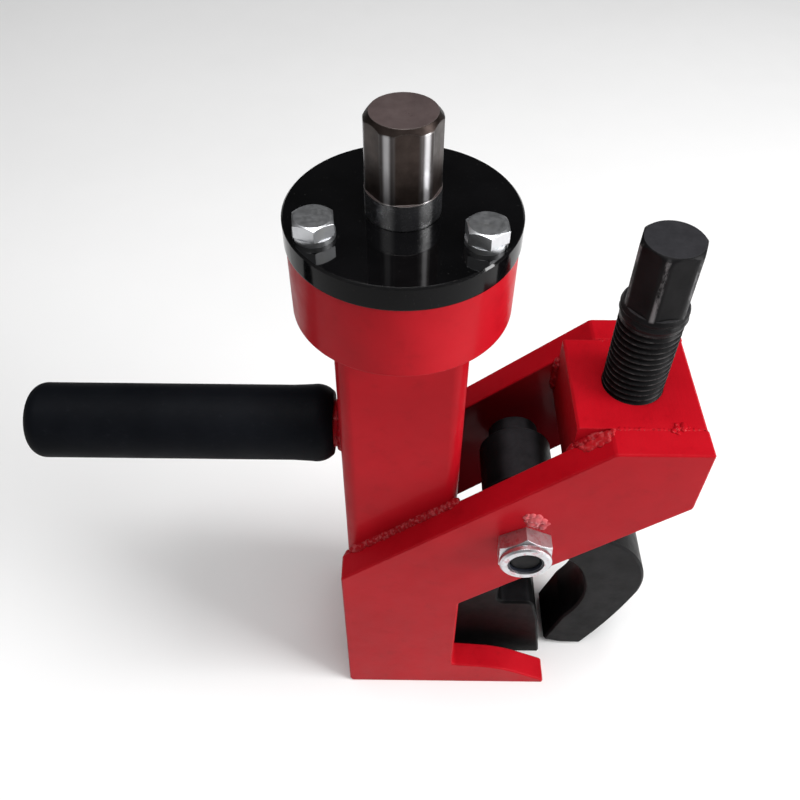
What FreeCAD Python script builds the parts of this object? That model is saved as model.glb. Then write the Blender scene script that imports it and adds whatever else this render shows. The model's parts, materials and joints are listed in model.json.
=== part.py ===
import FreeCAD
import Part
import math
import os
import re
import Sketcher

Vector = FreeCAD.Vector
Rotation = FreeCAD.Rotation

# Bead breaker: a hand tool that clamps on a wheel rim and pushes the tyre bead off it.
# Millimetres. Z is up along the drive screw, X points from the handle to the hook and
# Y points to the rear side plate. The origin is on the drive axis, at the middle of the
# foot's pressing face, level with the bottom of the side plates.

doc = FreeCAD.newDocument("bead_breaker")

SIZES = {
    # column and bearing housing
    "column_side": 60,
    "column_wall": 5,
    "column_corner": 7,
    "column_top": 300.5,
    "slot_width": 51,
    "slot_top": 104,
    "housing_radius": 48.8,
    "housing_top": 337,
    "housing_floor_top": 309.5,
    "housing_cavity": 28.6,
    "stud_depth": 20,
    "journal_bush_outer": 18,
    "journal_bush_bottom": 296,
    # cap and its bolts
    "cap_radius": 49.5,
    "cap_thickness": 11,
    "cap_bore": 15.7,
    "cap_chamfer": 0.8,
    "bolt_circle": 39,
    "bolt_first_angle": 207,
    "bolt_diameter": 10,
    "bolt_clearance": 10.6,
    "bolt_head_across": 16,
    "bolt_head_angle": 9,
    "bolt_head_height": 6.4,
    "bolt_crown": 1.3,
    "crown_inset": 0.5,
    "bolt_length": 28,
    "washer_thickness": 2.5,
    "washer_outer": 17.2,
    "washer_split": 1.6,
    # drive screw
    "hex_across": 29,
    "hex_radius": 15.4,
    "hex_top": 391.5,
    "hex_bottom": 359.8,
    "hex_angle": 6,
    "hex_top_chamfer": 2.1,
    "hex_top_chamfer_height": 2.6,
    "shoulder_radius": 15.6,
    "shoulder_gap": 0.2,
    "collar_radius": 27,
    "collar_bottom": 310,
    "collar_top": 318,
    "journal_radius": 15,
    "journal_clearance": 0.05,
    "drive_radius": 12,
    "drive_point": 2,
    "drive_end": 170,
    "drive_relief": 294,
    # thrust bearing between collar and cap
    "race_inner": 15.8,
    "race_thickness": 5,
    "ball_radius": 4.8,
    "groove_radius": 4.9,
    "groove_depth": 0.4,
    "ball_circle": 21.6,
    "ball_count": 12,
    "cage_inner": 16,
    "cage_outer": 27.4,
    "cage_thickness": 3,
    # ram
    "ram_side": 49.4,
    "ram_corner": 3,
    "ram_top": 292,
    "ram_bottom": 98,
    "ram_bore": 13,
    "ram_bore_bottom": 160,
    "nut_radius": 19,
    "nut_height": 42,
    "nut_clearance": 0.1,
    "foot_width": 48,
    "foot_left": 24,
    "foot_step": 61,
    "foot_shoulder_x": 84,
    "foot_shoulder_z": 68,
    "foot_front_x": 89.5,
    "foot_front_z": 44.5,
    "foot_tip_x": 95.5,
    "foot_round": 6,
    "foot_edge": 1.2,
    "foot_screw_spacing": 26,
    "foot_screw_radius": 5,
    "foot_screw_head": 8,
    "foot_screw_gap": 0.5,
    "foot_screw_seat": 74,
    "foot_screw_top": 118,
    "foot_screw_hole_top": 123,
    "foot_socket_across": 8,
    "foot_socket_depth": 5,
    # side plates
    "plate_thickness": 16,
    "plate_left": 33,
    "plate_shoulder": 132.2,
    "arm_bend": 99,
    "arm_end": 145,
    "arm_top": 246.5,
    "arm_under": 204,
    "throat_left": 34,
    "throat_top": 106,
    "throat_round": 4,
    "toe_root": 25.5,
    "toe_root_round": 3,
    "toe_knee_x": 66,
    "toe_knee_z": 21.5,
    "toe_tip_x": 96,
    "toe_tip_z": 3.2,
    "toe_round": 60,
    "plate_edge": 0.8,
    "plate_corner": 3,
    # head block and clamp screw
    "block_left": 83,
    "block_right": 144.6,
    "block_bottom": 206.5,
    "block_edge": 1,
    "clamp_axis": 113.8,
    "clamp_bore": 15.1,
    "clamp_radius": 15,
    "clamp_across": 27,
    "clamp_hex_radius": 14.7,
    "clamp_hex_angle": 10,
    "clamp_top": 334.2,
    "clamp_top_chamfer": 1.6,
    "clamp_hex_bottom": 300,
    "clamp_flare": 16.3,
    "clamp_flare_bottom": 294,
    "clamp_flare_slope": 1.7,
    "clamp_point": 1.5,
    "clamp_shoulder": 146,
    "clamp_tip": 8,
    "clamp_tip_bottom": 135.4,
    "pad_radius": 12.5,
    "pad_dome": 20,
    "pad_dome_centre": 151.4,
    "pad_top": 142.6,
    "pad_socket": 8.1,
    "pad_socket_bottom": 135.2,
    # hook
    "hook_thickness": 36,
    "hook_edge": 1.4,
    "hook_tip_x": 98.3,
    "hook_tip_z": 6.5,
    "hook_toe_x": 109.5,
    "hook_toe_z": 2.4,
    "hook_heel_x": 124.5,
    "hook_heel_z": 1.6,
    "hook_heel_round": 350,
    "hook_back_x": 150,
    "hook_back_z": 71.3,
    "hook_back_round": 56,
    "hook_seat_right": 120,
    "hook_seat_left": 98.5,
    "hook_seat_z": 131,
    "hook_neck_x": 77,
    "hook_neck_z": 160,
    "hook_under_x": 49.5,
    "hook_under_z": 158.5,
    "hook_throat_x": 106,
    "hook_throat_z": 103.4,
    "hook_throat_round": 60,
    "hook_inner_x": 107.3,
    "hook_inner_z": 38.9,
    # hook pivot
    "pivot_x": 64.7,
    "pivot_z": 171.2,
    "eye_radius": 20,
    "bush_radius": 12,
    "pivot_radius": 9,
    "pivot_clearance": 0.08,
    "pivot_across": 27,
    "pivot_nut_height": 9,
    "pivot_nut_angle": 32,
    "pivot_crown": 1.6,
    "pivot_collar": 13.5,
    "pivot_collar_height": 3.8,
    "pivot_neck": 12.7,
    "pivot_neck_height": 0.7,
    "pivot_lip": 9.5,
    "pivot_lip_height": 0.8,
    "pivot_recess": 2.2,
    "pivot_edge": 1,
    "pivot_head_height": 11.5,
    "pivot_end_radius": 8.4,
    "nylon_outer": 10.8,
    "side_washer": 17,
    "side_washer_thickness": 1.5,
    "side_gap": 0.3,
    "spacer_outer": 14,
    # handle
    "handle_height": 213.4,
    "rod_radius": 12.5,
    "rod_end": 188,
    "rod_start": 26,
    "rod_edge": 1,
    "grip_radius": 19.7,
    "grip_flare": 20.2,
    "grip_neck": 16.4,
    "grip_inner_end": 35,
    "grip_inner_round": 12,
    "grip_flare_at": 46,
    "grip_flare_end": 56,
    "grip_outer_end": 192.8,
    "grip_round": 8,
}

sheet = doc.addObject("Spreadsheet::Sheet", "Dims")
for row, (alias, value) in enumerate(SIZES.items(), start=1):
    sheet.set(f"A{row}", alias.replace("_", " "))
    sheet.set(f"B{row}", str(value))
    sheet.setAlias(f"B{row}", alias)
doc.recompute()


def size(expression):
    """The number that an expression in the sheet's names gives."""
    return float(sheet.evalExpression(expression))


def named(expression):
    """The same expression as another object has to write it."""
    return re.sub(r"[a-z_]+", lambda word: f"Dims.{word[0]}" if word[0] in SIZES else word[0], expression)


# ---- bodies, sketches and features ----------------------------------------------------

def new_body(label, x="0", y="0", z="0", rotation=Rotation()):
    """An empty body placed in the object's frame."""
    body = doc.addObject("PartDesign::Body", label)
    body.Label = label
    body.Placement = FreeCAD.Placement(Vector(), rotation)
    for axis, expression in zip("xyz", (x, y, z)):
        body.setExpression(f"Placement.Base.{axis}", named(expression))
    return body


def origin_item(body, role):
    """One of the body's own planes or axes."""
    return next(item for item in body.Origin.OriginFeatures if item.Role == role)


def sketch_on(body, role, height="0", shift="0"):
    """A sketch on one of the body's own planes, raised along its normal and shifted along its X."""
    sketch = body.newObject("Sketcher::SketchObject", "sketch")
    sketch.AttachmentSupport = [(origin_item(body, role), "")]
    sketch.MapMode = "FlatFace"
    sketch.setExpression("AttachmentOffset.Base.z", named(height))
    sketch.setExpression("AttachmentOffset.Base.x", named(shift))
    return sketch


def bind(sketch, constraint, expression):
    """Adds a dimension that follows the sheet."""
    index = sketch.addConstraint(constraint)
    sketch.setExpression(f"Constraints[{index}]", named(expression))


def arc_between(start, end, radius):
    """The short arc of a radius from start to end, and whether it runs clockwise."""
    chord = end - start
    rise = math.sqrt(radius ** 2 - chord.Length ** 2 / 4)
    left = Vector(-chord.y, chord.x, 0).normalize()
    clockwise = radius < 0
    centre = (start + end) / 2 + left * (-rise if clockwise else rise)
    first, last = (end, start) if clockwise else (start, end)
    angles = [math.atan2(point.y - centre.y, point.x - centre.x) for point in (first, last)]
    if angles[1] < angles[0]:
        angles[1] += 2 * math.pi
    circle_geometry = Part.Circle(centre, Vector(0, 0, 1), abs(radius))
    return Part.ArcOfCircle(circle_geometry, *angles), clockwise


def outline(sketch, corners):
    """A closed outline. A corner is (x, y), or (x, y, radius) where an arc leaves it:
    the arc bends left for a positive radius and right for a negative one."""
    first = sketch.GeometryCount
    count = len(corners)
    points = [Vector(size(corner[0]), size(corner[1]), 0) for corner in corners]
    ends = []
    for index, corner in enumerate(corners):
        start, end = points[index], points[(index + 1) % count]
        if len(corner) == 2:
            sketch.addGeometry(Part.LineSegment(start, end))
            ends.append((1, 2))
            continue
        arc, clockwise = arc_between(start, end, size(corner[2]))
        sketch.addGeometry(arc)
        ends.append((2, 1) if clockwise else (1, 2))
    for index in range(count):
        follower = (index + 1) % count
        sketch.addConstraint(Sketcher.Constraint(
            "Coincident", first + index, ends[index][1], first + follower, ends[follower][0]))
    for index, corner in enumerate(corners):
        for kind, value, text in zip(("DistanceX", "DistanceY"), points[index], corner):
            bind(sketch, Sketcher.Constraint(kind, -1, 1, first + index, ends[index][0], value), text)
        if len(corner) == 3:
            radius = abs(size(corner[2]))
            bind(sketch, Sketcher.Constraint("Radius", first + index, radius), f"abs({corner[2]})")


def circle(sketch, radius, x="0", y="0"):
    """A circle with its centre placed by two expressions."""
    centre = Vector(size(x), size(y), 0)
    index = sketch.addGeometry(Part.Circle(centre, Vector(0, 0, 1), size(radius)))
    bind(sketch, Sketcher.Constraint("Radius", index, size(radius)), radius)
    bind(sketch, Sketcher.Constraint("DistanceX", -1, 1, index, 3, centre.x), x)
    bind(sketch, Sketcher.Constraint("DistanceY", -1, 1, index, 3, centre.y), y)


def rectangle(sketch, left, bottom, right, top):
    outline(sketch, [(left, bottom), (right, bottom), (right, top), (left, top)])


def square(sketch, side, grow="0"):
    half = f"{side} / 2 + {grow}"
    rectangle(sketch, f"-({half})", f"-({half})", half, half)


def hexagon(sketch, across, first_angle="0", x="0", y="0"):
    """A regular hexagon measured across its flats, with one corner at first_angle."""
    corners = []
    for step in range(6):
        turn = f"({first_angle} + {60 * step}) * 1 deg"
        reach = f"{across} / 2 / cos(30 deg)"
        corners.append((f"{x} + {reach} * cos({turn})", f"{y} + {reach} * sin({turn})"))
    outline(sketch, corners)


def feature(body, kind, sketch):
    item = body.newObject(f"PartDesign::{kind}", kind.lower())
    item.Profile = sketch
    sketch.Visibility = False
    return item


def pad(body, sketch, length, both_ways=False, backwards=False):
    item = feature(body, "Pad", sketch)
    item.setExpression("Length", named(length))
    item.Midplane = both_ways
    item.Reversed = backwards
    return item


def pocket(body, sketch, depth=None, upwards=False):
    """Cuts down from the sketch, or up into the solid; with no depth it cuts all the way."""
    before = solid_volume(body)
    item = feature(body, "Pocket", sketch)
    if depth is None:
        item.Type = "ThroughAll"
    else:
        item.setExpression("Length", named(depth))
    item.Reversed = upwards
    check_cut(body, before)
    return item


def cross_pocket(body, sketch):
    """Cuts right through the body on both sides of the sketch."""
    before = solid_volume(body)
    item = feature(body, "Pocket", sketch)
    item.Type = "ThroughAll"
    item.Midplane = True
    check_cut(body, before)
    return item


def turn(body, corners, shift="0", kind="Revolution"):
    """Revolves an outline of (radius, height) corners about the vertical line at shift."""
    sketch = sketch_on(body, "XZ_Plane", shift=shift)
    outline(sketch, corners)
    before = solid_volume(body) if kind == "Groove" else None
    item = feature(body, kind, sketch)
    item.ReferenceAxis = (sketch, ["V_Axis"])
    item.Angle = 360
    if before is not None:
        check_cut(body, before)
    return item


def tube(label, inner, outer, bottom, top, **place):
    """A plain ring or bush about the vertical axis."""
    body = new_body(label, **place)
    turn(body, [(inner, bottom), (outer, bottom), (outer, top), (inner, top)])
    return body


def ring_of(body, features, count):
    """Repeats features about the body's vertical axis."""
    pattern = body.newObject("PartDesign::PolarPattern", "pattern")
    pattern.Originals = features
    pattern.Axis = (origin_item(body, "Z_Axis"), [""])
    pattern.Angle = 360
    pattern.setExpression("Occurrences", named(count))
    body.Tip = pattern
    return pattern


def solid_volume(body):
    doc.recompute()
    return body.Tip.Shape.Volume if body.Tip else 0


def check_cut(body, before):
    doc.recompute()
    if body.Tip.Shape.Volume >= before - 0.01:
        raise RuntimeError(f"a cut in {body.Label} removed nothing")


def edges_where(body, test):
    """Names of the edges of the body's last feature that pass a test."""
    doc.recompute()
    shape = body.Tip.Shape
    return [f"Edge{index}" for index, edge in enumerate(shape.Edges, start=1) if test(edge)]


def is_vertical(edge):
    direction = edge.Vertexes[-1].Point - edge.Vertexes[0].Point
    return direction.Length > 1 and abs(direction.z) > 0.999 * direction.Length


def runs_along_y(edge):
    direction = edge.Vertexes[-1].Point - edge.Vertexes[0].Point
    return direction.Length > 1 and abs(direction.y) > 0.999 * direction.Length


def lies_on_y(edge, depth):
    return all(abs(abs(vertex.Y) - depth) < 0.01 for vertex in edge.Vertexes)


def round_edges(body, names, radius):
    base = body.Tip
    item = body.newObject("PartDesign::Fillet", "fillet")
    item.Base = (base, names)
    item.setExpression("Radius", named(radius))


def chamfer_edges(body, names, width):
    base = body.Tip
    item = body.newObject("PartDesign::Chamfer", "chamfer")
    item.Base = (base, names)
    item.setExpression("Size", named(width))


def edge_at(body, x, z):
    """The edge along Y that passes a place in the XZ plane."""
    def test(edge):
        point = edge.Vertexes[0].Point
        return runs_along_y(edge) and abs(point.x - size(x)) < 0.1 and abs(point.z - size(z)) < 0.1
    return edges_where(body, test)


def hex_crown(body, across, top, drop, shift="0"):
    """The turned chamfer round the corners of a hexagon's top face."""
    beyond_corners = f"{across} * 0.6"
    return turn(body, [
        (f"{across} / 2 - crown_inset", top),
        (beyond_corners, top),
        (beyond_corners, f"{top} - {drop}"),
    ], shift=shift, kind="Groove")


# ---- frame: column, housing and cap ---------------------------------------------------

def column_tube():
    """Square tube that guides the ram, with a slot in its right wall for the foot."""
    body = new_body("column_tube")
    outer = sketch_on(body, "XY_Plane")
    square(outer, "column_side")
    pad(body, outer, "column_top")
    round_edges(body, edges_where(body, is_vertical), "column_corner")
    inner = sketch_on(body, "XY_Plane", height="column_top")
    square(inner, "column_side", grow="0 - column_wall")
    pocket(body, inner)
    slot = sketch_on(body, "XY_Plane")
    rectangle(slot, "0", "-slot_width / 2", "column_side", "slot_width / 2")
    pocket(body, slot, "slot_top", upwards=True)
    rod_hole = sketch_on(body, "YZ_Plane")
    circle(rod_hole, "rod_radius", y="handle_height")
    pocket(body, rod_hole, "column_side")


def bearing_housing():
    """Round cup welded on the column, with three threaded holes for the cap's bolts."""
    body = new_body("bearing_housing", rotation=Rotation(Vector(0, 0, 1), size("bolt_first_angle")))
    turn(body, [
        ("journal_bush_outer", "column_top"),
        ("housing_radius", "column_top"),
        ("housing_radius", "housing_top"),
        ("housing_cavity", "housing_top"),
        ("housing_cavity", "housing_floor_top"),
        ("journal_bush_outer", "housing_floor_top"),
    ])
    hole = sketch_on(body, "XY_Plane", height="housing_top")
    circle(hole, "bolt_diameter / 2", x="bolt_circle")
    ring_of(body, [pocket(body, hole, "stud_depth")], "3")


def cap_plate():
    """Round cover that holds the thrust bearing down."""
    body = new_body("cap_plate", rotation=Rotation(Vector(0, 0, 1), size("bolt_first_angle")))
    top = "housing_top + cap_thickness"
    turn(body, [
        ("cap_bore", "housing_top"),
        ("cap_radius", "housing_top"),
        ("cap_radius", f"{top} - cap_chamfer"),
        ("cap_radius - cap_chamfer", top),
        ("cap_bore", top),
    ])
    hole = sketch_on(body, "XY_Plane", height=top)
    circle(hole, "bolt_clearance / 2", x="bolt_circle")
    ring_of(body, [pocket(body, hole)], "3")


def cap_washers():
    """Split spring washers under the cap's bolts."""
    body = new_body("cap_washers", rotation=Rotation(Vector(0, 0, 1), size("bolt_first_angle")))
    seat = sketch_on(body, "XY_Plane", height="housing_top + cap_thickness")
    circle(seat, "washer_outer / 2", x="bolt_circle")
    circle(seat, "bolt_clearance / 2", x="bolt_circle")
    washer = pad(body, seat, "washer_thickness")
    split = sketch_on(body, "XY_Plane", height="housing_top + cap_thickness + washer_thickness")
    rectangle(split, "bolt_circle", "-washer_split / 2", "bolt_circle + washer_outer", "washer_split / 2")
    ring_of(body, [washer, pocket(body, split)], "3")


def cap_bolts():
    """Hexagon bolts that hold the cap on the housing."""
    body = new_body("cap_bolts", rotation=Rotation(Vector(0, 0, 1), size("bolt_first_angle")))
    seat = "housing_top + cap_thickness + washer_thickness"
    top = f"{seat} + bolt_head_height"
    head_sketch = sketch_on(body, "XY_Plane", height=seat)
    hexagon(head_sketch, "bolt_head_across", first_angle="bolt_head_angle", x="bolt_circle")
    head = pad(body, head_sketch, "bolt_head_height")
    shank_sketch = sketch_on(body, "XY_Plane", height=seat)
    circle(shank_sketch, "bolt_diameter / 2", x="bolt_circle")
    shank = pad(body, shank_sketch, "bolt_length", backwards=True)
    crown = hex_crown(body, "bolt_head_across", top, "bolt_crown", shift="bolt_circle")
    ring_of(body, [head, shank, crown], "3")


def guide_bush():
    """Bronze bush in the housing floor that guides the drive screw's journal."""
    tube("guide_bush", "journal_radius + journal_clearance", "journal_bush_outer",
         "journal_bush_bottom", "housing_floor_top")


# ---- thrust bearing -------------------------------------------------------------------

def grooved_race(label, face, back, groove_bend):
    """A thrust race with the ball groove in its face; groove_bend is the arc's signed radius."""
    body = new_body(label)
    turn(body, [("race_inner", back), ("collar_radius", back),
                ("collar_radius", face), ("race_inner", face)])
    half_chord = "sqrt(groove_radius ^ 2 - (groove_radius - groove_depth) ^ 2)"
    turn(body, [(f"ball_circle - {half_chord}", face, groove_bend), (f"ball_circle + {half_chord}", face)],
         kind="Groove")


def thrust_cage():
    """Brass cage that spaces the balls."""
    body = new_body("thrust_cage")
    middle = "(collar_top + housing_top) / 2"
    turn(body, [
        ("cage_inner", f"{middle} - cage_thickness / 2"),
        ("cage_outer", f"{middle} - cage_thickness / 2"),
        ("cage_outer", f"{middle} + cage_thickness / 2"),
        ("cage_inner", f"{middle} + cage_thickness / 2"),
    ])
    hole = sketch_on(body, "XY_Plane", height=f"{middle} + cage_thickness / 2")
    circle(hole, "groove_radius", x="ball_circle")
    ring_of(body, [pocket(body, hole)], "ball_count")


def thrust_balls():
    """Steel balls of the thrust bearing."""
    body = new_body("thrust_balls")
    ball = body.newObject("PartDesign::AdditiveSphere", "ball")
    ball.AttachmentSupport = [(origin_item(body, "XY_Plane"), "")]
    ball.MapMode = "FlatFace"
    ball.setExpression("Radius", named("ball_radius"))
    ball.setExpression("AttachmentOffset.Base.x", named("ball_circle"))
    ball.setExpression("AttachmentOffset.Base.z", named("(collar_top + housing_top) / 2"))
    ring_of(body, [ball], "ball_count")


# ---- drive screw and ram --------------------------------------------------------------

def drive_screw():
    """Screw with a hexagon and a round shoulder above the cap, a thrust collar and the drive thread."""
    body = new_body("drive_screw")
    shoulder_bottom = "housing_top + cap_thickness + shoulder_gap"
    turn(body, [
        ("0", "drive_end"),
        ("drive_radius - drive_point", "drive_end"),
        ("drive_radius", "drive_end + drive_point"),
        ("drive_radius", "drive_relief"),
        ("journal_radius", "drive_relief"),
        ("journal_radius", "collar_bottom"),
        ("collar_radius", "collar_bottom"),
        ("collar_radius", "collar_top"),
        ("journal_radius", "collar_top"),
        ("journal_radius", shoulder_bottom),
        ("shoulder_radius", shoulder_bottom),
        ("shoulder_radius", "hex_bottom"),
        ("hex_radius", "hex_bottom"),
        ("hex_radius", "hex_top - hex_top_chamfer_height"),
        ("hex_radius - hex_top_chamfer", "hex_top"),
        ("0", "hex_top"),
    ])
    flats = sketch_on(body, "XY_Plane", height="hex_top")
    circle(flats, "hex_radius * 1.5")
    hexagon(flats, "hex_across", first_angle="hex_angle")
    pocket(body, flats, "hex_top - hex_bottom")


def ram_bar():
    """Square bar that slides in the column, bored from its top for the drive screw."""
    body = new_body("ram_bar")
    section = sketch_on(body, "XY_Plane", height="ram_bottom")
    square(section, "ram_side")
    pad(body, section, "ram_top - ram_bottom")
    round_edges(body, edges_where(body, is_vertical), "ram_corner")
    bore = sketch_on(body, "XY_Plane", height="ram_top")
    circle(bore, "ram_bore")
    pocket(body, bore, "ram_top - ram_bore_bottom")
    nut_seat = sketch_on(body, "XY_Plane", height="ram_top")
    circle(nut_seat, "nut_radius")
    pocket(body, nut_seat, "nut_height")
    threads = sketch_on(body, "XY_Plane", height="ram_bottom")
    for side in ("-", ""):
        circle(threads, "foot_screw_radius", y=f"{side}foot_screw_spacing / 2")
    pocket(body, threads, "foot_screw_hole_top - ram_bottom", upwards=True)


def ram_nut():
    """Bronze drive nut pressed into the top of the ram."""
    tube("ram_nut", "drive_radius + nut_clearance", "nut_radius", "ram_top - nut_height", "ram_top")


def ram_foot():
    """Pressing foot that reaches from the ram through the column's slot to the tyre bead."""
    body = new_body("ram_foot")
    side = sketch_on(body, "XZ_Plane")
    outline(side, [
        ("-foot_left", "0"),
        ("foot_tip_x", "0"),
        ("foot_front_x", "foot_front_z"),
        ("foot_shoulder_x", "foot_shoulder_z"),
        ("foot_step", "foot_shoulder_z"),
        ("foot_step", "ram_bottom"),
        ("-foot_left", "ram_bottom"),
    ])
    pad(body, side, "foot_width", both_ways=True)
    for x, z in (("foot_shoulder_x", "foot_shoulder_z"), ("foot_step", "foot_shoulder_z")):
        round_edges(body, edge_at(body, x, z), "foot_round")
    half = size("foot_width / 2")
    chamfer_edges(body, edges_where(body, lambda edge: lies_on_y(edge, half)), "foot_edge")
    head_hole = "foot_screw_head + foot_screw_gap"
    for radius, depth in (("foot_screw_radius", "ram_bottom"), (head_hole, "foot_screw_seat")):
        holes = sketch_on(body, "XY_Plane")
        for sign in ("-", ""):
            circle(holes, radius, y=f"{sign}foot_screw_spacing / 2")
        pocket(body, holes, depth, upwards=True)


def foot_screws():
    """Socket head screws that fasten the foot under the ram."""
    body = new_body("foot_screws")
    head_bottom = "foot_screw_seat - foot_screw_radius * 2"
    for sign in ("-", ""):
        y = f"{sign}foot_screw_spacing / 2"
        head = sketch_on(body, "XY_Plane", height=head_bottom)
        circle(head, "foot_screw_head", y=y)
        pad(body, head, "foot_screw_radius * 2")
        shank = sketch_on(body, "XY_Plane", height="foot_screw_seat")
        circle(shank, "foot_screw_radius", y=y)
        pad(body, shank, "foot_screw_top - foot_screw_seat")
        socket = sketch_on(body, "XY_Plane", height=head_bottom)
        hexagon(socket, "foot_socket_across", y=y)
        pocket(body, socket, "foot_socket_depth", upwards=True)


# ---- side plates and head -------------------------------------------------------------

def side_plate(label, side):
    """Flame-cut plate beside the column, with the toe below and the arm above."""
    body = new_body(label, y=f"{side} * (column_side + plate_thickness) / 2")
    face = sketch_on(body, "XZ_Plane")
    outline(face, [
        ("-plate_left", "0"),
        ("toe_tip_x", "0"),
        ("toe_tip_x", "toe_tip_z"),
        ("toe_knee_x", "toe_knee_z"),
        ("throat_left", "toe_root"),
        ("throat_left", "throat_top"),
        ("arm_end", "arm_under"),
        ("arm_end", "arm_top"),
        ("arm_bend", "arm_top"),
        ("-plate_left", "plate_shoulder"),
    ])
    pad(body, face, "plate_thickness", both_ways=True)
    for x, z, radius in (
        ("toe_knee_x", "toe_knee_z", "toe_round"),
        ("throat_left", "toe_root", "toe_root_round"),
        ("throat_left", "throat_top", "throat_round"),
        ("-plate_left", "0", "plate_corner"),
    ):
        round_edges(body, edge_at(body, x, z), radius)
    pivot_hole = sketch_on(body, "XZ_Plane")
    circle(pivot_hole, "pivot_radius", x="pivot_x", y="pivot_z")
    cross_pocket(body, pivot_hole)
    half = size("plate_thickness / 2")
    hole = size("pivot_radius")
    outer = edges_where(body, lambda edge: lies_on_y(edge, half) and not (
        hasattr(edge.Curve, "Radius") and abs(edge.Curve.Radius - hole) < 0.01))
    chamfer_edges(body, outer, "plate_edge")


def head_block():
    """Block welded between the arms, threaded for the clamp screw."""
    body = new_body("head_block")
    section = sketch_on(body, "XZ_Plane")
    rectangle(section, "block_left", "block_bottom", "block_right", "arm_top")
    pad(body, section, "column_side", both_ways=True)
    chamfer_edges(body, edges_where(body, runs_along_y), "block_edge")
    bore = sketch_on(body, "XY_Plane", height="arm_top")
    circle(bore, "clamp_bore", x="clamp_axis")
    pocket(body, bore)


# ---- clamp screw and hook -------------------------------------------------------------

def clamp_screw():
    """Screw through the head block that presses the hook down on the rim."""
    body = new_body("clamp_screw", x="clamp_axis")
    turn(body, [
        ("0", "clamp_tip_bottom"),
        ("clamp_tip", "clamp_tip_bottom"),
        ("clamp_tip", "clamp_shoulder"),
        ("clamp_radius - clamp_point", "clamp_shoulder"),
        ("clamp_radius", "clamp_shoulder + clamp_point"),
        ("clamp_radius", "clamp_flare_bottom - clamp_flare_slope"),
        ("clamp_flare", "clamp_flare_bottom"),
        ("clamp_flare", "clamp_hex_bottom - clamp_flare_slope"),
        ("clamp_hex_radius", "clamp_hex_bottom"),
        ("clamp_hex_radius", "clamp_top - clamp_top_chamfer"),
        ("clamp_hex_radius - clamp_top_chamfer", "clamp_top"),
        ("0", "clamp_top"),
    ])
    flats = sketch_on(body, "XY_Plane", height="clamp_top")
    circle(flats, "clamp_hex_radius * 1.5")
    hexagon(flats, "clamp_across", first_angle="clamp_hex_angle")
    pocket(body, flats, "clamp_top - clamp_hex_bottom")


def clamp_pad():
    """Swivel pad with a domed underside that rolls on the hook's back."""
    body = new_body("clamp_pad", x="clamp_axis")
    rim = "pad_dome_centre - sqrt(pad_dome ^ 2 - pad_radius ^ 2)"
    turn(body, [
        ("0", "pad_dome_centre - pad_dome", "pad_dome"),
        ("pad_radius", rim),
        ("pad_radius", "pad_top"),
        ("pad_socket", "pad_top"),
        ("pad_socket", "pad_socket_bottom"),
        ("0", "pad_socket_bottom"),
    ])


def hook_jaw():
    """Hook that grips under the rim, hanging from an eye on the pivot."""
    body = new_body("hook_jaw")
    side = sketch_on(body, "XZ_Plane")
    outline(side, [
        ("hook_tip_x", "hook_tip_z"),
        ("hook_toe_x", "hook_toe_z"),
        ("hook_heel_x", "hook_heel_z", "hook_heel_round"),
        ("hook_back_x", "hook_back_z", "hook_back_round"),
        ("hook_seat_right", "hook_seat_z"),
        ("hook_seat_left", "hook_seat_z"),
        ("hook_neck_x", "hook_neck_z"),
        ("pivot_x", "pivot_z"),
        ("hook_under_x", "hook_under_z"),
        ("hook_throat_x", "hook_throat_z", "-hook_throat_round"),
        ("hook_inner_x", "hook_inner_z"),
    ])
    pad(body, side, "hook_thickness", both_ways=True)
    eye = sketch_on(body, "XZ_Plane")
    circle(eye, "eye_radius", x="pivot_x", y="pivot_z")
    pad(body, eye, "hook_thickness", both_ways=True)
    half = size("hook_thickness / 2")
    chamfer_edges(body, edges_where(body, lambda edge: lies_on_y(edge, half)), "hook_edge")
    bore = sketch_on(body, "XZ_Plane")
    circle(bore, "bush_radius", x="pivot_x", y="pivot_z")
    cross_pocket(body, bore)


# The pivot's round parts stand on the pivot axis, with their own Z towards the front.
ON_PIVOT = {"x": "pivot_x", "z": "pivot_z", "rotation": Rotation(Vector(1, 0, 0), 90)}
PLATE_FACE = "(column_side / 2 + plate_thickness)"


def pivot_bolt():
    """Bolt through both plates that the hook swings on."""
    body = new_body("pivot_bolt", **ON_PIVOT)
    thread_end = f"{PLATE_FACE} + pivot_nut_height"
    tip = f"{thread_end} + pivot_collar_height - pivot_recess"
    turn(body, [
        ("0", f"0 - {PLATE_FACE}"),
        ("pivot_radius", f"0 - {PLATE_FACE}"),
        ("pivot_radius", thread_end),
        ("pivot_end_radius", thread_end),
        ("pivot_end_radius", f"{tip} - pivot_edge"),
        ("pivot_end_radius - pivot_edge", tip),
        ("0", tip),
    ])
    head = sketch_on(body, "XY_Plane", height=f"0 - {PLATE_FACE}")
    hexagon(head, "pivot_across")
    pad(body, head, "pivot_head_height", backwards=True)


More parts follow.
